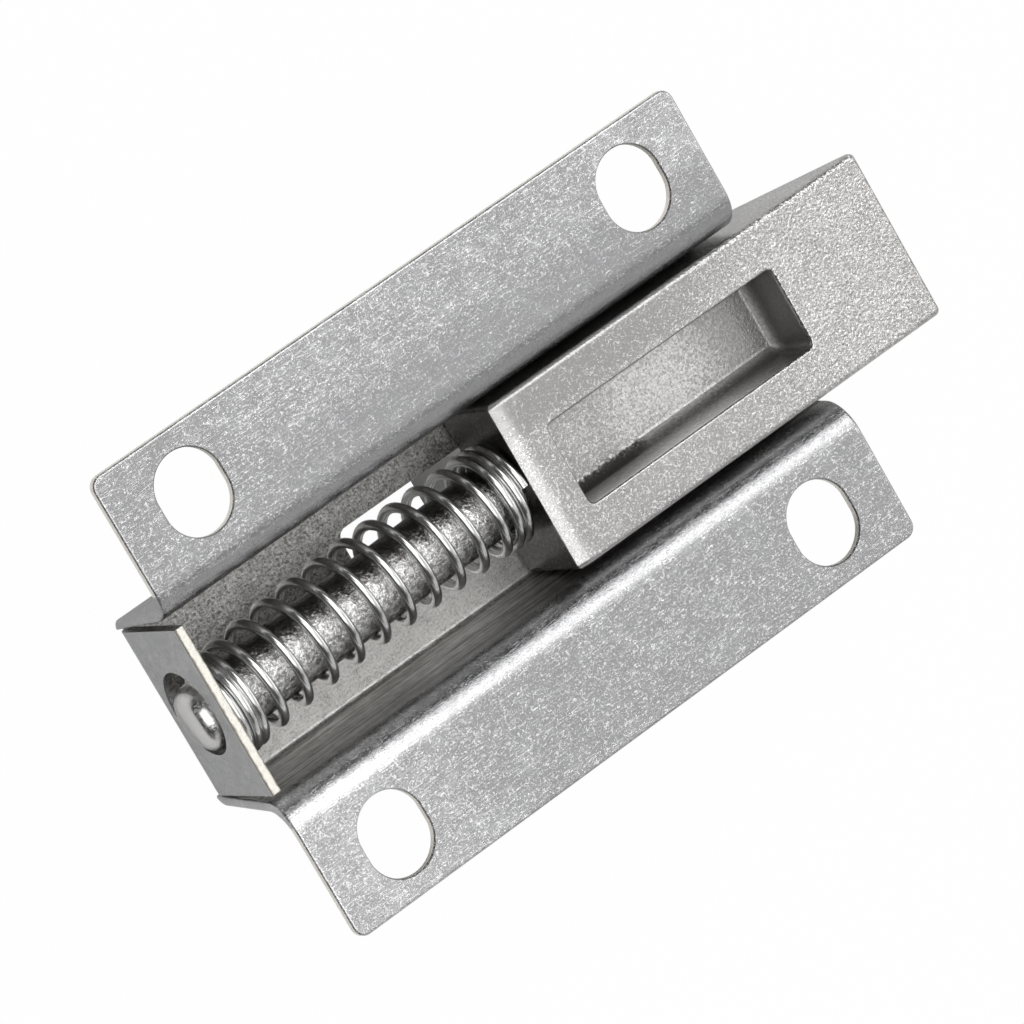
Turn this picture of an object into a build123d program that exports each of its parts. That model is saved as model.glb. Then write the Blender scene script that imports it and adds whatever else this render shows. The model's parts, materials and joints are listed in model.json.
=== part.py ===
# Spring bolt: a folded sheet bracket, a cast bolt with its guide rod, and the coil spring between them.
# Millimetres. The origin is the centre of the four screw holes, on the mounting face.
# +X runs along the bolt towards its nose and +Z points out of the mounting face.
import os
from math import atan2, cos, isclose, pi, radians, sin, tan

from build123d import *

# Bracket sheet and folds
sheet = 0.8
bracket_length = 56.0
bracket_depth = 11.0  # mounting face to the underside of the channel
wall_lean = 3.5  # degrees, so the channel opens towards the mounting face
floor_bend = 0.4  # inside radius
flange_bend = 2.0  # inside radius
flange_corner = 1.0
sheet_round = 0.25  # tumbled front edges
rim_chamfer = 0.12  # screw hole rims
slot_corner = 0.8

# Screw holes, with the metal left around them
hole_diameter = 6.6
hole_to_bend = 0.9
hole_to_edge = 1.7
hole_to_end = 3.35

# Rear tab
tab_drop = 0.3  # top of the tab below the mounting face
tab_gap = 0.2  # slit beside the tab at the floor
tab_relief = 0.4  # slit beyond the tab's bend
tab_round = 0.1

# Bolt casting
bolt_length = 37.0
bolt_width = 14.4
bolt_height = 9.0
bolt_round = 0.5
heel_length = 1.7  # of the top that falls away towards the rear face
heel_drop = 0.37
nose_reach = 11.6  # nose beyond the end of the bracket, and the bolt's travel
nose_angle = 44.0
nose_blunt = 0.9

# Relief pocket in the bolt
pocket_wall = 3.3  # metal between the pocket and the rear face
pocket_length = 22.7
pocket_width = 7.0
pocket_depth = 4.6
pocket_draft = 3.0
pocket_corner = 0.6
pocket_round = 0.2  # mouth
pocket_fillet = 1.0  # floor

# Guide rod
rod_side = 0.25  # off the middle of the bolt, at its rear face
rod_root = 1.0  # set into the bolt
rod_end = 0.7  # stands out of the tab
rod_round = 1.3  # domed end

# Thumb piece
thumb_setback = 0.1  # from the rear face of the bolt
thumb_width = 6.7
thumb_length = 7.0
thumb_reach = 11.0  # stands out of the channel floor
thumb_draft = 0.5
thumb_round = 0.6

# Spring
wire = 0.8
coil_gap = 0.03  # between the closed turns
rear_turns = 2.0
open_turns = 11.25
front_turns = 2.0
ramp_turns = 1.0  # over which the wire opens from the closed turns
wire_end_angle = 87.0  # front end of the wire, from +Y towards +Z
points_per_turn = 12

# Clearances
side_clearance = 0.15
floor_clearance = 0.1
slot_clearance = 0.6
slot_spare = 0.35  # slot left over behind the drawn-back thumb piece
stop_clearance = 0.05
rod_clearance = 0.8  # in the tab
rod_play = 0.625  # inside the coil
lean_clearance = 0.065  # to the coil, on the side that the rod leans to at the tab
spring_clearance = 0.05
coil_clearance = 0.375  # over the channel floor

# Places worked out from the sizes above
rear = -bracket_length / 2
floor_top = sheet - bracket_depth
lean = tan(radians(wall_lean))
channel_half = bolt_width / 2 + side_clearance
channel_mouth = channel_half - lean * floor_top
flange_start = channel_mouth + (flange_bend + sheet) * tan(radians(90 - wall_lean) / 2)
hole_row = flange_start + hole_to_bend + hole_diameter / 2
flange_edge = hole_row + hole_diameter / 2 + hole_to_edge
hole_column = bracket_length / 2 - hole_to_end - hole_diameter / 2
tab_half = channel_half - tab_gap
notch_length = sheet + floor_bend + tab_relief

bolt_bottom = floor_top + floor_clearance
bolt_top = bolt_bottom + bolt_height
bolt_tip = bracket_length / 2 + nose_reach
bolt_rear = bolt_tip - bolt_length
bevel_start = bolt_tip - (bolt_height - nose_blunt) / tan(radians(nose_angle))
pocket_middle = bolt_rear + pocket_wall + pocket_length / 2
rod_axis = bolt_bottom + bolt_height / 2
coil_radius = rod_axis - floor_top - coil_clearance - wire / 2  # middle of the wire
rod_radius = coil_radius - wire / 2 - rod_play
rod_lean = atan2(rod_side + rod_play - lean_clearance, bolt_rear - rear - sheet)
rod_length = (bolt_rear - rear + rod_end) / cos(rod_lean)

thumb_rear = bolt_rear + thumb_setback
thumb_root = bolt_bottom + 2 * bolt_round
thumb_tip = -bracket_depth - thumb_reach
slot_rear = thumb_rear - nose_reach - slot_spare
slot_front = thumb_rear + thumb_length + stop_clearance
slot_width = thumb_width + 2 * slot_clearance

# Bracket: hat section with a tab folded up from the floor
with BuildPart() as bracket:
    with BuildSketch(Plane.YZ.offset(rear)):
        with BuildLine():
            FilletPolyline(
                (flange_edge, 0),
                (channel_mouth, 0),
                (channel_half, floor_top),
                (-channel_half, floor_top),
                (-channel_mouth, 0),
                (-flange_edge, 0),
                radius=[flange_bend + sheet, floor_bend, floor_bend, flange_bend + sheet],
            )
            offset(amount=sheet, side=Side.LEFT)
        make_face()
    extrude(amount=bracket_length)

    # The floor is notched along the walls, and the tab takes its place
    with BuildSketch(Plane.YZ.offset(rear)):
        with BuildLine():
            Polyline(
                (channel_half - lean * sheet, -bracket_depth),
                (channel_half + lean * floor_bend, floor_top + floor_bend),
                (-channel_half - lean * floor_bend, floor_top + floor_bend),
                (lean * sheet - channel_half, -bracket_depth),
                close=True,
            )
        make_face()
    extrude(amount=notch_length, mode=Mode.SUBTRACT)
    with BuildSketch(Plane.XZ):
        with BuildLine():
            FilletPolyline(
                (rear + notch_length, floor_top),
                (rear + sheet, floor_top),
                (rear + sheet, -tab_drop),
                radius=floor_bend,
            )
            offset(amount=sheet, side=Side.LEFT)
        make_face()
    extrude(amount=tab_half, both=True)

    # Openings for the rod, the thumb piece and the screws
    with BuildSketch(Plane.YZ.offset(rear)):
        with Locations((0, rod_axis)):
            Circle(rod_radius + rod_clearance)
    extrude(amount=sheet, mode=Mode.SUBTRACT)
    with BuildSketch(Plane.XY.offset(floor_top)):
        with Locations(((slot_rear + slot_front) / 2, 0)):
            RectangleRounded(slot_front - slot_rear, slot_width, slot_corner)
    extrude(amount=-sheet, mode=Mode.SUBTRACT)
    with GridLocations(2 * hole_column, 2 * hole_row, 2, 2):
        Hole(hole_diameter / 2)

    # Rounded corners, then tumbled edges
    corners = bracket.edges().filter_by(Axis.Z).group_by(Axis.Y)
    fillet(corners[0] + corners[-1], flange_corner)
    fillet(bracket.faces().sort_by(Axis.X)[-1].edges(), sheet_round)
    tab_top = bracket.faces().sort_by_distance((rear + sheet / 2, 0, -tab_drop))[0]
    fillet(tab_top.edges(), tab_round)
    rims = bracket.edges().filter_by(GeomType.CIRCLE)
    chamfer(rims.filter_by(lambda rim: isclose(rim.radius, hole_diameter / 2)), rim_chamfer)
bracket.part.label = "bracket"

# Bolt: block, pocket, thumb piece and guide rod in one casting
with BuildPart() as bolt:
    with BuildSketch(Plane.XZ):
        with BuildLine():
            Polyline(
                (bolt_rear, bolt_top - heel_drop),
                (bolt_rear, bolt_bottom),
                (bevel_start, bolt_bottom),
                (bolt_tip, bolt_top - nose_blunt),
                (bolt_tip, bolt_top),
                (bolt_rear + heel_length, bolt_top),
            )
            TangentArc(
                (bolt_rear + heel_length, bolt_top),
                (bolt_rear, bolt_top - heel_drop),
                tangent=(-1, 0),
            )
        make_face()
    extrude(amount=bolt_width / 2, both=True)
    ridges = bolt.edges().filter_by(Axis.Y).sort_by_distance((bolt_rear, 0, bolt_top))[2:]
    fillet(bolt.faces().filter_by(Axis.Y).edges() + ridges, bolt_round)

    with BuildSketch(Plane.XY.offset(bolt_top)):
        with Locations((pocket_middle, 0)):
            RectangleRounded(pocket_length, pocket_width, pocket_corner)
    extrude(amount=-pocket_depth, taper=pocket_draft, mode=Mode.SUBTRACT)
    pocket_floor = bolt.faces().sort_by_distance((pocket_middle, 0, bolt_top - pocket_depth))[0]
    fillet(pocket_floor.edges(), pocket_fillet)
    fillet(bolt.faces().sort_by(Axis.Z)[-1].inner_wires().edges(), pocket_round)

    with BuildSketch(Plane.XY.offset(thumb_root)):
        with Locations((thumb_rear + thumb_length / 2, 0)):
            Rectangle(thumb_length, thumb_width)
    extrude(amount=thumb_tip - thumb_root, taper=thumb_draft)
    fillet(bolt.faces().sort_by(Axis.Z)[0].edges(), thumb_round)

    rod_way = (-cos(rod_lean), -sin(rod_lean), 0)
    rod_plane = Plane(origin=(bolt_rear, rod_side, rod_axis), z_dir=rod_way)
    with BuildSketch(rod_plane.offset(-rod_root)):
        Circle(rod_radius)
    extrude(amount=rod_root + rod_length)
    fillet(bolt.faces().sort_by(Axis.X)[0].edges(), rod_round)
bolt.part.label = "bolt"

# Spring: closed turns at both ends and open turns between, in one length of wire
closed_pitch = wire + coil_gap
spring_rear = rear + sheet + wire / 2
spring_front = bolt_rear - spring_clearance - wire / 2
turns = rear_turns + open_turns + front_turns
closed_length = closed_pitch * (rear_turns + front_turns + ramp_turns)
open_pitch = (spring_front - spring_rear - closed_length) / (open_turns - ramp_turns)


def opening(turn):
    ramped = min(max(turn, 0), ramp_turns)
    return ramped * ramped / (2 * ramp_turns) + max(turn - ramp_turns, 0)


def along_spring(turn):
    opened = opening(turn - rear_turns) - opening(turn - rear_turns - open_turns + ramp_turns)
    return spring_rear + closed_pitch * turn + (open_pitch - closed_pitch) * opened


coil_points = []
steps = round(turns * points_per_turn)
for step in range(steps + 1):
    turn = turns * step / steps
    angle = radians(wire_end_angle) + 2 * pi * (turn - turns)
    across = coil_radius * cos(angle)
    up = rod_axis + coil_radius * sin(angle)
    coil_points.append((along_spring(turn), across, up))

with BuildPart() as spring:
    with BuildLine() as coil:
        Spline(*coil_points)
    with BuildSketch(Plane(origin=coil.line @ 0, z_dir=coil.line % 0)):
        Circle(wire / 2)
    sweep(path=coil.line, is_frenet=True)
spring.part.label = "spring"

os.makedirs("parts", exist_ok=True)
export_step(bracket.part, "parts/bracket.step")
export_step(bolt.part, "parts/bolt.step")
export_step(spring.part, "parts/spring.step")
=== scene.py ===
import json
import math

import bpy
from mathutils import Matrix, Vector

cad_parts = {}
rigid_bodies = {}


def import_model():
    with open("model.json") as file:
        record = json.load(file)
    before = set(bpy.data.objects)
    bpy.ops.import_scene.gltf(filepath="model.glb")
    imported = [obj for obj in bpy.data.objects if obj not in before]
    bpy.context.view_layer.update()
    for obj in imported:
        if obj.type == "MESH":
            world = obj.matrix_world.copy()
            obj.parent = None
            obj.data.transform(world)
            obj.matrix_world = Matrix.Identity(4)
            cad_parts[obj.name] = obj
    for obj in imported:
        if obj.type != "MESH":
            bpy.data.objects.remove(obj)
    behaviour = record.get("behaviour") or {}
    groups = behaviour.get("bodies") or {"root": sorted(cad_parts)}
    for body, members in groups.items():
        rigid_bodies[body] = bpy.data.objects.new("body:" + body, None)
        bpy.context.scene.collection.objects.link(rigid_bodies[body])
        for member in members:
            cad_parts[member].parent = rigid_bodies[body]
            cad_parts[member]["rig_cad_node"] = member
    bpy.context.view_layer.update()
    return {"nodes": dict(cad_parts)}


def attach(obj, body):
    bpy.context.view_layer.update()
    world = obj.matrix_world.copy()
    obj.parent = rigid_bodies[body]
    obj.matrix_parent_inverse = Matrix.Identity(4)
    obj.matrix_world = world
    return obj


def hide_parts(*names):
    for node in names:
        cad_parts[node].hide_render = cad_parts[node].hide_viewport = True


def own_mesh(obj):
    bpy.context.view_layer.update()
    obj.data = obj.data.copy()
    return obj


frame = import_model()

mm = 0.001
scene = bpy.context.scene
scene.view_settings.view_transform = "Standard"
bpy.ops.object.select_all(action="DESELECT")
print("frame loaded:", ", ".join(sorted(frame["nodes"])))


class Flow:  # wraps a socket, so that sums written in Python become Math nodes
    def __init__(self, tree, socket=None):
        self.tree = tree
        self.socket = socket

    def node(self, kind, settings={}, inputs={}, out=0):
        made = self.tree.nodes.new(kind)
        for name, value in settings.items():
            setattr(made, name, value)
        for name, value in inputs.items():
            if isinstance(value, Flow):
                self.tree.links.new(value.socket, made.inputs[name])
            else:
                made.inputs[name].default_value = value
        return Flow(self.tree, made.outputs[out])

    def math(self, operation, first, second):
        return self.node("ShaderNodeMath", {"operation": operation}, {0: first, 1: second})

    def __add__(self, other):
        return self.math("ADD", self, other)

    def __radd__(self, other):
        return self.math("ADD", other, self)

    def __sub__(self, other):
        return self.math("SUBTRACT", self, other)

    def __rsub__(self, other):
        return self.math("SUBTRACT", other, self)

    def __mul__(self, other):
        return self.math("MULTIPLY", self, other)

    def __rmul__(self, other):
        return self.math("MULTIPLY", other, self)

    def smaller(self, other):
        return self.math("MINIMUM", self, other)

    def larger(self, other):
        return self.math("MAXIMUM", self, other)

    def step(self, low, high):  # 0 below low, 1 above high, smooth between
        return self.node(
            "ShaderNodeMapRange",
            {"interpolation_type": "SMOOTHSTEP"},
            {"Value": self, "From Min": low, "From Max": high},
        )

    def drop(self, low, high):  # 1 below low, 0 above high
        return 1.0 - self.step(low, high)

    def noise(self, scale, detail=2.0, roughness=0.5):
        inputs = {"Vector": self, "Scale": scale, "Detail": detail, "Roughness": roughness}
        return self.node("ShaderNodeTexNoise", {}, inputs)

    def swing(self, amount):  # noise to either side of its middle
        return (self - 0.5) * amount

    def away(self, middle):  # distance from a middle value
        return self.node("ShaderNodeMath", {"operation": "ABSOLUTE"}, {0: self - middle})

    def moved(self, shift, turn=(0.0, 0.0, 0.0), stretch=(1.0, 1.0, 1.0)):
        inputs = {"Vector": self, "Location": shift, "Rotation": turn, "Scale": stretch}
        return self.node("ShaderNodeMapping", {}, inputs)

    def blend(self, first, second):  # mixes two colours by this value
        pair = [c if isinstance(c, Flow) else (*c, 1.0) for c in (first, second)]
        return self.node("ShaderNodeMix", {"data_type": "RGBA"}, {0: self, 6: pair[0], 7: pair[1]}, 2)


def newFinish(name):
    material = bpy.data.materials.new(name)
    material.use_nodes = True
    tree = material.node_tree
    shader = tree.nodes["Principled BSDF"]
    shader.inputs["Metallic"].default_value = 1.0
    place = Flow(tree).node("ShaderNodeTexCoord", out="Object")
    inMm = place.node("ShaderNodeVectorMath", {"operation": "SCALE"}, {0: place, "Scale": 1000.0})
    return material, shader, inMm


def feed(shader, name, flow):
    flow.tree.links.new(flow.socket, shader.inputs[name])


def feedBump(shader, height, distance):
    inputs = {"Height": height, "Strength": 1.0, "Distance": distance}
    feed(shader, "Normal", height.node("ShaderNodeBump", {}, inputs))


def parts(vector):
    split = vector.node("ShaderNodeSeparateXYZ", {}, {0: vector}).socket.node
    return [Flow(vector.tree, split.outputs[name]) for name in "XYZ"]


def normalParts(inMm):
    return parts(inMm.node("ShaderNodeNewGeometry", out="Normal"))


# Marks that the tumbled sheet and the casting share; noise is scale, detail, roughness, per millimetre
tumbledLook = {
    "patches": (0.35, 3.0, 0.6),
    "grain": (9.0, 2.0, 0.6),
    "coarseFlecks": (3.0, 0.042, 0.48),
    "fineFlecks": (5.2, 0.052, 0.52),
    "fineShift": (5.0, 9.0, 1.0),
    "gateShift": (7.3, 2.9, 5.1),
    "level": (0.86, 0.97),  # upright part of the normal on the level faces
    "steepShare": 0.12,  # of the marks, on the steep faces
    "patchTone": 0.4,
    "patchRough": 0.14,
    "tones": (-0.2, 1.0),
}


def flecks(inMm, scale, width, cut):  # short curled strokes, as tumbling leaves them
    path = inMm.noise(scale, 1.0, 0.45).away(0.5)
    gate = inMm.moved(tumbledLook["gateShift"]).noise(scale * 1.1, 0.0)
    return path.drop(width * 0.4, width) * gate.step(cut, cut + 0.08)


def tumbledStrokes(inMm):
    look = tumbledLook
    coarse = flecks(inMm, *look["coarseFlecks"])
    return coarse.larger(flecks(inMm.moved(look["fineShift"]), *look["fineFlecks"]))


def onLevel(marks, upright):  # the marks show on level faces, and less round the bends and down the sides
    share = tumbledLook["steepShare"]
    return marks * (share + upright.away(0.0).step(*tumbledLook["level"]) * (1.0 - share))


def scratches(inMm, count, along, across, low, high):  # thin straight scratches, in several directions
    total = None
    for turn in range(count):
        angle = math.pi * (turn + 0.37 * (turn % 2)) / count
        place = inMm.moved((3.1 * turn, 1.7 * turn, 0.0), (0.0, 0.0, angle), (along, across, across))
        marks = place.noise(1.0, 1.0, 0.4).step(low, high)
        total = marks if total is None else total.larger(marks)
    return total


# Bracket: tumbled stainless sheet, rougher inside the channel, whose colour is darkened with painted shade
bracketLook = {
    "holeRow": 14.808,
    "holeColumn": 21.35,
    "holeSize": 6.6,
    "holeRim": 3.6,  # reaches past the rim's chamfer
    "holeWidth": 5.65,
    "holeLength": 6.75,
    "midLine": 0.001,  # vertices nearer to a hole's middle line stay on it
    "merge": 0.000001,
    "dark": (0.43, 0.43, 0.436),
    "light": (1.0, 1.0, 1.0),
    "cutEdgeHighlight": (1.0, 0.97, 0.90),
    "cutLine": (0.24, 0.21, 0.17),
    "channelShadeDark": (0.18, 0.175, 0.165),
    "channelShadeLight": (0.67, 0.66, 0.645),
    "roughness": 0.27,
    "bump": 0.000014,
    # channel, from its floor to its mouth, and the faces of its walls and tab
    "floorTop": -10.2,
    "wallLean": 0.0612,
    "floorMiddle": (-10.8, -10.6),
    "mouth": (-3.4, -2.2),
    "wallMiddle": (7.65, 7.85),
    "tabMiddle": (-27.7, -27.5),
    "wallFoot": (-9.8, -9.0),
    # noise and scratches
    "clouds": (1.3, 3.0, 0.6),
    "cloudShift": (11.0, 4.0, 2.0),
    "specks": (0.57, 0.72),
    "scratches": (5, 0.7, 9.0, 0.66, 0.74),
    "drawn": (1.0, 3.0, 0.6),
    "drawnStretch": (0.12, 2.4, 2.4),
    "pitted": (5.0, 3.0, 0.7),
    "pits": (4.0, 3.0, 0.7),
    "pitShift": (4.0, 2.0, 7.0),
    "pitCut": (0.53, 0.62),
    # flange zones: rear to front, and out from the bends, where painted shade falls near the left bend
    "bendStart": (7.0, 8.0),
    "bendEnd": (11.5, 15.5),
    "bendRear": (-24.0, -4.0),
    "rightFlange": (-8.0, -7.0),
    "rightRear": (-24.0, -6.0),
    "leftFlange": (8.0, 9.0),
    "leftRear": (-24.0, -8.0),
    "leftFront": (16.0, 22.0),
    # cut edges of the sheet, painted near-white as a highlight
    "tabTop": (-0.55, -0.35),
    "tabFace": (-27.15, -27.05),
    "tabSide": (7.2, 7.3),
    "tabCentre": -27.6,
    "tabLine": (0.2, 0.36),
    "tabSpeck": (0.55, 0.7),
    "steep": (0.3, 0.6),
    "flangeStart": (9.9, 10.1),
}


def pickVertices(piece, wanted):
    bpy.ops.mesh.select_all(action="DESELECT")
    bpy.ops.object.mode_set(mode="OBJECT")
    for vertex in piece.data.vertices:
        vertex.select = wanted(vertex.co / mm)
    bpy.ops.object.mode_set(mode="EDIT")


def drawOutHole(bracket, middle):  # narrows the round hole, then parts its two halves
    look = bracketLook
    narrow = look["holeWidth"] / look["holeSize"]
    stretch = (look["holeLength"] - look["holeWidth"]) / 2.0

    def atRim(at):
        return (at - middle).xy.length < look["holeRim"]

    pickVertices(bracket, atRim)
    bpy.ops.transform.resize(value=(narrow, narrow, 1.0), center_override=middle * mm)
    for way in (-1.0, 1.0):
        pickVertices(bracket, lambda at: atRim(at) and (at - middle).y * way > look["midLine"])
        bpy.ops.transform.translate(value=(0.0, way * stretch * mm, 0.0))


def makeBracket():  # a copy of the solid, with its four holes drawn out across the bolt
    look = bracketLook
    node = frame["nodes"]["bracket"]
    node.select_set(True)
    bpy.context.view_layer.objects.active = node
    bpy.ops.object.duplicate()
    bracket = bpy.context.object
    bracket.name = "sheetBracket"
    del bracket["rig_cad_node"]
    bpy.ops.object.mode_set(mode="EDIT")
    bpy.ops.mesh.select_mode(type="VERT")
    bpy.ops.mesh.select_all(action="SELECT")
    bpy.ops.mesh.remove_doubles(threshold=look["merge"], use_sharp_edge_from_normals=True)
    for column in (-look["holeColumn"], look["holeColumn"]):
        for row in (-look["holeRow"], look["holeRow"]):
            drawOutHole(bracket, Vector((column, row, 0.0)))
    bpy.ops.mesh.customdata_custom_splitnormals_clear()
    bpy.ops.object.mode_set(mode="OBJECT")
    even = bracket.modifiers.new("evenFlats", "WEIGHTED_NORMAL")
    even.weight = 100
    even.keep_sharp = True
    bpy.ops.object.modifier_apply(modifier="evenFlats")
    return bracket


def channelZone(along, across, up):  # 1 on the inside of the floor, the walls and the tab
    look = bracketLook
    wallPlace = across.away(0.0) - (up - look["floorTop"]) * look["wallLean"]
    height = up.drop(*look["mouth"]) * up.step(*look["floorMiddle"])
    return height * wallPlace.drop(*look["wallMiddle"]) * along.step(*look["tabMiddle"])


def flangeShade(along, across):  # painted shade along the left flange's bend; the right flange lighter at the rear and darker at the front, the left flange darker at the rear and lighter at the front
    look = bracketLook
    nearBend = across.step(*look["bendStart"]) * across.drop(*look["bendEnd"]) * along.step(*look["bendRear"])
    right = across.drop(*look["rightFlange"]) * (along.step(*look["rightRear"]) * 0.32 - 0.18)
    left = along.drop(*look["leftRear"]) * 0.16 - along.step(*look["leftFront"]) * 0.12
    return nearBend * 0.46 + right + across.step(*look["leftFlange"]) * left


def channelTone(inMm, across, up, clouds, wearAndShading):  # painted shade of the channel, with drawn lines on the walls and pits on the floor
    look = bracketLook
    wall = up.step(*look["wallFoot"])
    drawn = inMm.moved((0.0, 0.0, 0.0), stretch=look["drawnStretch"]).noise(*look["drawn"])
    # painted shadow: the floor is darker towards the left wall
    pitted = inMm.noise(*look["pitted"]) * 1.4 - 0.2 - across.step(-3.0, 5.0) * 0.2
    tone = clouds * 0.45 + wall * (drawn * 1.3 - 0.38) + (1.0 - wall) * (pitted * 0.75 + 0.01) + wearAndShading * 0.2
    pits = inMm.moved(look["pitShift"]).noise(*look["pits"]).step(*look["pitCut"])
    pits = (1.0 - wall) * across.step(-2.0, 3.0) * pits
    return (tone - pits * 0.4).step(0.2, 0.8).blend(look["channelShadeDark"], look["channelShadeLight"])


def finishBracket():
    look = bracketLook
    material, shader, inMm = newFinish("tumbledSheet")
    along, across, up = parts(inMm)
    upright = normalParts(inMm)[2]
    inside = channelZone(along, across, up)
    patches = inMm.noise(*tumbledLook["patches"])
    clouds = inMm.moved(look["cloudShift"]).noise(*look["clouds"])
    grain = inMm.noise(*tumbledLook["grain"])
    strokes = tumbledStrokes(inMm)
    lines = scratches(inMm, *look["scratches"])
    marks = strokes * 0.7 + grain.step(*look["specks"]) * 0.4 + lines * 0.5 + grain.swing(0.9)
    # the wear here also carries painted shade near the left bend
    wearAndShading = onLevel(marks, upright) + patches.swing(tumbledLook["patchTone"]) - flangeShade(along, across)
    bright = (wearAndShading + clouds.swing(0.6)).step(*tumbledLook["tones"]).blend(look["dark"], look["light"])
    # painted shade: inside the channel the colour is darker
    shadedRecess = channelTone(inMm, across, up, clouds, wearAndShading)
    side = across.away(0.0)
    tabTop = up.step(*look["tabTop"]) * along.drop(*look["tabFace"]) * side.drop(*look["tabSide"])
    rims = (along + clouds.swing(0.3)).away(look["tabCentre"]).step(*look["tabLine"])
    line = (rims * 0.8 + grain.step(*look["tabSpeck"]) * 0.35) * tabTop
    cut = tabTop.larger(upright.away(0.0).drop(*look["steep"]) * side.step(*look["flangeStart"]))
    # painted highlight: the cut edges are near-white cream, with darker lines along the tab top's sides and
    # specks
    edgeHighlight = line.smaller(1.0).blend(look["cutEdgeHighlight"], look["cutLine"])
    feed(shader, "Base Color", cut.blend(inside.blend(bright, shadedRecess), edgeHighlight))
    rough = look["roughness"] + patches.swing(tumbledLook["patchRough"]) + inside * 0.12 - strokes * 0.04
    feed(shader, "Roughness", rough + cut * 0.25)
    height = grain * 0.6 + strokes * 0.7 + lines * 0.4 + clouds * 0.6 + patches * 0.5
    feedBump(shader, height, look["bump"])
    return material


bracket = makeBracket()
bracket.data.materials.clear()
bracket.data.materials.append(finishBracket())
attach(bracket, "bracket")
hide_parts("bracket")
bpy.ops.object.select_all(action="DESELECT")
print("bracket finished:", len(bracket.data.polygons), "faces")

# Bolt: stainless casting, with a grained skin on the nose, a frosted rod and a pocket darkened with painted
# shade
boltLook = {
    "dark": (0.42, 0.415, 0.41),
    "light": (0.97, 0.96, 0.95),
    "shadedRecess": (0.36, 0.35, 0.34),
    "pocketWallShade": (0.11, 0.106, 0.10),
    "darkPatch": (0.06, 0.055, 0.05),
    "rust": (0.20, 0.15, 0.11),
    "rearFaceShade": (0.085, 0.08, 0.075),
    "rodShade": (0.07, 0.065, 0.06),
    "roughness": 0.29,
    "bump": 0.000014,
    # noise
    "skin": (4.2, 1.0, 0.5),
    "skinShift": (2.0, 8.0, 3.0),
    "crystals": (2.5, 4.0, 0.6),
    "crystalShift": (6.0, 1.0, 4.0),
    "specks": (0.55, 0.70),
    # block: towards the nose, painted lighter, the strip on the left, painted with shade, and the rear face
    # below the heel, painted dark as a reflection
    "nose": (10.0, 33.0),
    "leftStrip": (3.5, 5.0),
    "rearStart": (2.5, 2.58),
    "rearEnd": (2.64, 2.72),
    "heel": (-1.75, -1.55),
    # rod: its start at the block, its domed end, and its axis there
    "rodStart": (2.3, 2.6),
    "rodUnder": (-9.0, -8.9),
    "domeStart": (-27.4, -26.9),
    "rodAxis": -5.6,
    "rodEndSide": -0.6,
    "shadeLeft": (0.38, 0.75),
    "shadeRight": (-0.86, -0.74),
    "pitCut": (0.60, 0.68),
    "pitHeight": (-4.4, -3.6),
    # pocket, with painted shadow at its front and on its walls, painted light in its middle, and a dark patch
    # along its right wall
    "pocketSide": (3.3, 3.6),
    "pocketTop": (-1.6, -1.3),
    "pocketRear": (4.5, 5.5),
    "pocketEnd": (29.0, 29.5),
    "pocketFrontShadow": (20.0, 27.0),
    "frontWall": (27.2, 27.8),
    "footSlope": (0.95, 0.995),
    "pocketLightMiddle": 17.5,
    "pocketLightSpread": (2.0, 7.0),
    "darkPatchSide": (-2.9, -2.2),
    "darkPatchTop": (-4.9, -4.2),
    "darkPatchEnd": (13.0, 15.5),
}


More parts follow.
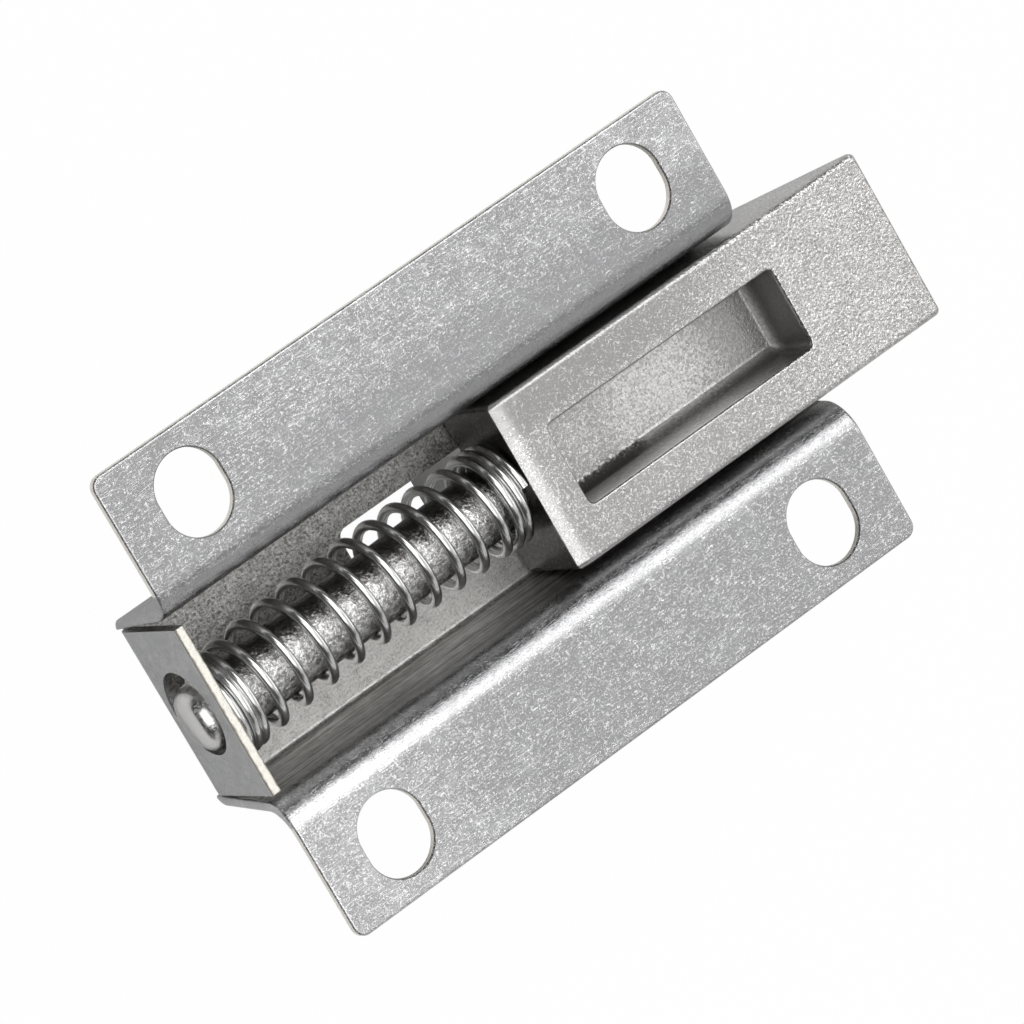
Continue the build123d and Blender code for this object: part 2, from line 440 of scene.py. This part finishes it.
def finishBolt():
    look = boltLook
    material, shader, inMm = newFinish("castSteel")
    along, across, up = parts(inMm)
    facing, upright = normalParts(inMm)[1:]
    patches = inMm.noise(*tumbledLook["patches"])
    grain = inMm.noise(*tumbledLook["grain"])
    skin = inMm.moved(look["skinShift"]).noise(*look["skin"])
    crystals = inMm.moved(look["crystalShift"]).noise(*look["crystals"])
    strokes = tumbledStrokes(inMm)

    # zones
    nose = along.step(*look["nose"])
    rod = along.drop(*look["rodStart"]) * up.step(*look["rodUnder"])
    shank = rod * along.step(*look["domeStart"])
    dome = rod - shank
    pocket = across.away(0.0).drop(*look["pocketSide"]) * up.drop(*look["pocketTop"])
    pocket = pocket * along.step(*look["pocketRear"]) * along.drop(*look["pocketEnd"])
    pocketFrontShadow = pocket * (along + patches.swing(4.0)).step(*look["pocketFrontShadow"])
    shadedWalls = pocket * upright.drop(*look["footSlope"])
    # darker low on the pocket's right wall, towards its rear
    darkPatchZone = pocket * (across + skin.swing(1.3)).drop(*look["darkPatchSide"]) * up.drop(*look["darkPatchTop"])
    darkPatchZone = darkPatchZone * (along + patches.swing(8.0)).drop(*look["darkPatchEnd"])
    shade = (facing + crystals.swing(0.9) + skin.swing(0.9)).step(*look["shadeLeft"])
    shade = shank * shade.larger((facing + crystals.swing(0.2)).drop(*look["shadeRight"]))
    pits = shank * crystals.step(*look["pitCut"]) * up.step(*look["pitHeight"])
    rearFaceShade = along.drop(*look["rearEnd"]) * along.step(*look["rearStart"]) * up.drop(*look["heel"])

    # wear, with painted light and shade, from dark to light
    marks = strokes * 0.8 + grain.step(*look["specks"]) * 0.4 + grain.swing(1.2)
    wearAndShading = onLevel(marks, upright) + patches.swing(tumbledLook["patchTone"])
    # painted light: the nose is lighter; painted shade: the strip on the left is darker behind the nose
    wearAndShading = wearAndShading + (skin.swing(1.3) + 0.12) * nose - across.step(*look["leftStrip"]) * (1.0 - nose) * 0.45
    wearAndShading = wearAndShading + shank * (crystals.swing(4.5) + 0.3) + dome * 0.5
    # painted light: the pocket floor is lighter around its middle
    wearAndShading = wearAndShading + pocket * (skin.swing(1.6) + 0.35 * along.away(look["pocketLightMiddle"]).drop(*look["pocketLightSpread"]))

    # colours, one over the other
    metal = wearAndShading.step(*tumbledLook["tones"]).blend(look["dark"], look["light"])
    # painted shadow at the pocket's front, and painted shade over the whole pocket
    metal = (pocketFrontShadow * 0.7 + pocket * 0.15).blend(metal, look["shadedRecess"])
    # painted shade: the pocket's walls and fillets are made near-black, less on the front wall
    metal = (shadedWalls * (0.7 - along.step(*look["frontWall"]) * 0.5)).blend(metal, look["pocketWallShade"])
    # painted dark reflection: the rear face below the heel, mottled by the skin
    metal = (rearFaceShade * (0.5 + skin)).smaller(1.0).blend(metal, look["rearFaceShade"])
    metal = (darkPatchZone * 0.85).blend(metal, look["darkPatch"])
    metal = (shade * 0.9).blend(metal, look["rodShade"])
    feed(shader, "Base Color", (pits * 0.7).blend(metal, look["rust"]))
    rough = look["roughness"] + patches.swing(tumbledLook["patchRough"])
    feed(shader, "Roughness", rough - rod * 0.06 + darkPatchZone * 0.2 + shadedWalls * 0.3)

    # skin on the nose, crystals on the rod, a crown on the rod's end
    sideways, upwards = across - look["rodEndSide"], up - look["rodAxis"]
    crown = dome * (sideways * sideways + upwards * upwards) * 9.0
    skinHeight = skin * (0.5 + nose * (1.0 - pocket) * 6.0 + pocket)
    height = grain * 0.6 + strokes * 0.6 + skinHeight + crystals * shank * 12.0 - crown
    feedBump(shader, height, look["bump"])
    return material


frame["nodes"]["bolt"].material_slots[0].material = finishBolt()
print("bolt finished")

# Spring: round wire, closed turns at both ends
springLook = {
    "wire": 0.8,
    "coilRadius": 3.825,
    "rear": -26.8,
    "front": 2.15,
    "axisHeight": -5.6,
    "closedPitch": 0.83,
    "rearTurns": 2.0,
    "openTurns": 11.25,
    "frontTurns": 2.0,
    "rampTurns": 1.0,
    "endAngle": 87.0,
    "drift": 0.36,  # the open turns bunch a little towards the ends
    "driftCurve": 0.68,
    "lean": 0.28,  # the spring lies across the channel, following the rod
    "leanStart": -8.0,
    "leanFall": 1.12,
    "leanCurve": 2.4,
    "pointsPerTurn": 48,
    "wireSteps": 6,
    "merge": 0.000001,
    "smoothAngle": 50.0,
    "dark": (0.66, 0.66, 0.65),
    "light": (0.76, 0.76, 0.75),
    "patches": (1.2, 3.0, 0.6),
    "tones": (0.3, 0.7),
    "roughness": 0.23,
    "roughSwing": 0.08,
}


def makeSpring():
    look = springLook
    turns = look["rearTurns"] + look["openTurns"] + look["frontTurns"]
    ramp = look["rampTurns"]
    closedLength = look["closedPitch"] * (look["rearTurns"] + look["frontTurns"] + ramp)
    openPitch = (look["front"] - look["rear"] - closedLength) / (look["openTurns"] - ramp)

    def opening(turn):
        ramped = min(max(turn, 0.0), ramp)
        return ramped * ramped / (2.0 * ramp) + max(turn - ramp, 0.0)

    bpy.ops.curve.primitive_nurbs_path_add()
    wire = bpy.context.object
    wire.name = "springWire"
    wire.data.splines.clear()
    spline = wire.data.splines.new("POLY")
    steps = round(turns * look["pointsPerTurn"])
    spline.points.add(steps)
    for step in range(steps + 1):
        turn = turns * step / steps
        fromRear = turn - look["rearTurns"]
        opened = opening(fromRear) - opening(fromRear - look["openTurns"] + ramp)
        share = min(max(fromRear / look["openTurns"], 0.0), 1.0)
        along = look["rear"] + look["closedPitch"] * turn + (openPitch - look["closedPitch"]) * opened
        along -= look["drift"] * math.sin(2.0 * math.pi * share ** look["driftCurve"])
        back = max(look["leanStart"] - along, 0.0) / (look["leanStart"] - look["rear"])
        side = look["lean"] - look["leanFall"] * back ** look["leanCurve"]
        angle = math.radians(look["endAngle"]) + 2.0 * math.pi * (turn - turns)
        across = side + look["coilRadius"] * math.cos(angle)
        up = look["axisHeight"] + look["coilRadius"] * math.sin(angle)
        spline.points[step].co = (along * mm, across * mm, up * mm, 1.0)
    wire.data.bevel_depth = look["wire"] / 2.0 * mm
    wire.data.bevel_resolution = look["wireSteps"]
    wire.data.use_fill_caps = True
    bpy.ops.object.convert(target="MESH")
    bpy.ops.object.mode_set(mode="EDIT")
    bpy.ops.mesh.select_all(action="SELECT")
    bpy.ops.mesh.remove_doubles(threshold=look["merge"])
    bpy.ops.mesh.normals_make_consistent(inside=False)
    bpy.ops.object.mode_set(mode="OBJECT")
    bpy.ops.object.transform_apply()
    bpy.ops.object.shade_smooth_by_angle(angle=math.radians(look["smoothAngle"]))
    return wire


def finishSpring():
    look = springLook
    material, shader, inMm = newFinish("drawnWire")
    patches = inMm.noise(*look["patches"])
    feed(shader, "Base Color", patches.step(*look["tones"]).blend(look["dark"], look["light"]))
    feed(shader, "Roughness", look["roughness"] + patches.swing(look["roughSwing"]))
    return material


spring = makeSpring()
spring.data.materials.clear()
spring.data.materials.append(finishSpring())
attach(spring, "bracket")
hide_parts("spring")
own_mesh(spring)
print("spring wound:", len(spring.data.polygons), "faces")

# Stage: white floor with a low raised rim, and five wide soft boxes
stageLook = {
    "floorHeight": -22.2,
    "floorRadius": 2500.0,
    "floorSides": 64,
    "rimHeight": 240.0,
    "rimCurve": 180.0,
    "rimSegments": 8,
    "cameraWhite": 0.985,
    "floorTone": 0.72,
    "glossyWhite": 0.08,
    "worldTone": 0.05,
    "turned": ("sideBox", "frontBox", "lowBox"),  # to face the part
    "boxes": {  # middle, size, power
        "rearBox": ((-750.0, 250.0, 2000.0), (1700.0, 2300.0), 26.0),
        "sideBox": ((745.0, 1060.0, 1790.0), (1420.0, 1400.0), 17.6),
        "fillBox": ((1050.0, -750.0, 2000.0), (1900.0, 2100.0), 9.0),
        "frontBox": ((2300.0, -300.0, 1300.0), (1100.0, 1900.0), 12.0),
        "lowBox": ((800.0, -1950.0, 700.0), (1500.0, 3000.0), 8.0),
    },
}


def paintFloor(floor):
    look = stageLook
    material = bpy.data.materials.new("whiteFloor")
    material.use_nodes = True
    tree = material.node_tree
    tree.nodes.remove(tree.nodes["Principled BSDF"])
    camera = Flow(tree).node("ShaderNodeLightPath", out="Is Camera Ray")
    glossy = Flow(tree, camera.socket.node.outputs["Is Glossy Ray"])
    through = Flow(tree, camera.socket.node.outputs["Is Transmission Ray"])
    seen = (camera + through) * look["cameraWhite"] + glossy * look["glossyWhite"]
    paint = camera.node("ShaderNodeBsdfDiffuse", {}, {"Color": (*[look["floorTone"]] * 3, 1.0)})
    white = camera.node("ShaderNodeEmission", {}, {"Color": (1.0, 1.0, 1.0, 1.0), "Strength": 1.0})
    mixed = camera.node("ShaderNodeMixShader", {}, {0: seen.smaller(1.0), 1: paint, 2: white})
    tree.links.new(mixed.socket, tree.nodes["Material Output"].inputs["Surface"])
    floor.data.materials.append(material)


def makeFloor():
    look = stageLook
    bpy.ops.object.select_all(action="DESELECT")
    bpy.ops.mesh.primitive_circle_add(
        vertices=look["floorSides"],
        radius=look["floorRadius"] * mm,
        fill_type="NGON",
        location=(0, 0, look["floorHeight"] * mm),
    )
    floor = bpy.context.object
    floor.name = "floor"
    bpy.ops.object.mode_set(mode="EDIT")
    bpy.ops.mesh.select_mode(type="EDGE")
    bpy.ops.mesh.region_to_loop()
    bpy.ops.mesh.extrude_edges_move(TRANSFORM_OT_translate={"value": (0, 0, look["rimHeight"] * mm)})
    bpy.ops.object.mode_set(mode="OBJECT")
    bpy.ops.object.transform_apply()
    curve = floor.modifiers.new("rimCurve", "BEVEL")
    curve.width = look["rimCurve"] * mm
    curve.segments = look["rimSegments"]
    bpy.ops.object.modifier_apply(modifier="rimCurve")
    bpy.ops.object.shade_smooth()
    paintFloor(floor)


def makeLight():
    look = stageLook
    world = bpy.data.worlds.new("studio")
    scene.world = world
    world.use_nodes = True
    world.node_tree.nodes["Background"].inputs["Color"].default_value = (*[look["worldTone"]] * 3, 1.0)
    for name, (middle, size, power) in look["boxes"].items():
        place = Vector(middle) * mm
        bpy.ops.object.light_add(type="AREA", location=place)
        box = bpy.context.object
        box.name = name
        box.data.shape = "RECTANGLE"
        box.data.size = size[0] * mm
        box.data.size_y = size[1] * mm
        box.data.energy = power
        if name in look["turned"]:
            box.rotation_euler = place.to_track_quat("Z", "X").to_euler()


makeFloor()
makeLight()
print("stage set")

# Camera at the photograph's view
cameraLook = {
    "back": (-0.38884, 0.21404, 0.89610),
    "roll": 0.61795,
    "target": (4.667, 0.0, -3.533),
    "offset": (-2.238, -2.712),
    "distance": 501.70,
    "focalPixels": 6710.0,
    "imagePixels": 1024.0,
    "sensor": 36.0,
    "nearest": 0.01,
}


def makeCamera():
    look = cameraLook
    back = Vector(look["back"]).normalized()
    right = Vector((0, 1, 0)).cross(back).normalized()
    up = back.cross(right)
    turn = look["roll"] - math.atan2(up.x, right.x)
    rolledRight = math.cos(turn) * right - math.sin(turn) * up
    rolledUp = math.sin(turn) * right + math.cos(turn) * up
    place = Vector(look["target"]) + look["offset"][0] * rolledRight + look["offset"][1] * rolledUp
    place = (place + look["distance"] * back) * mm
    bpy.ops.object.camera_add(location=place)
    camera = bpy.context.object
    turned = Matrix((rolledRight, rolledUp, back)).transposed().to_4x4()
    camera.matrix_world = Matrix.Translation(place) @ turned
    camera.data.sensor_width = look["sensor"]
    camera.data.lens = look["focalPixels"] / look["imagePixels"] * look["sensor"]
    camera.data.clip_start = look["nearest"]
    scene.camera = camera


makeCamera()
print("camera placed")
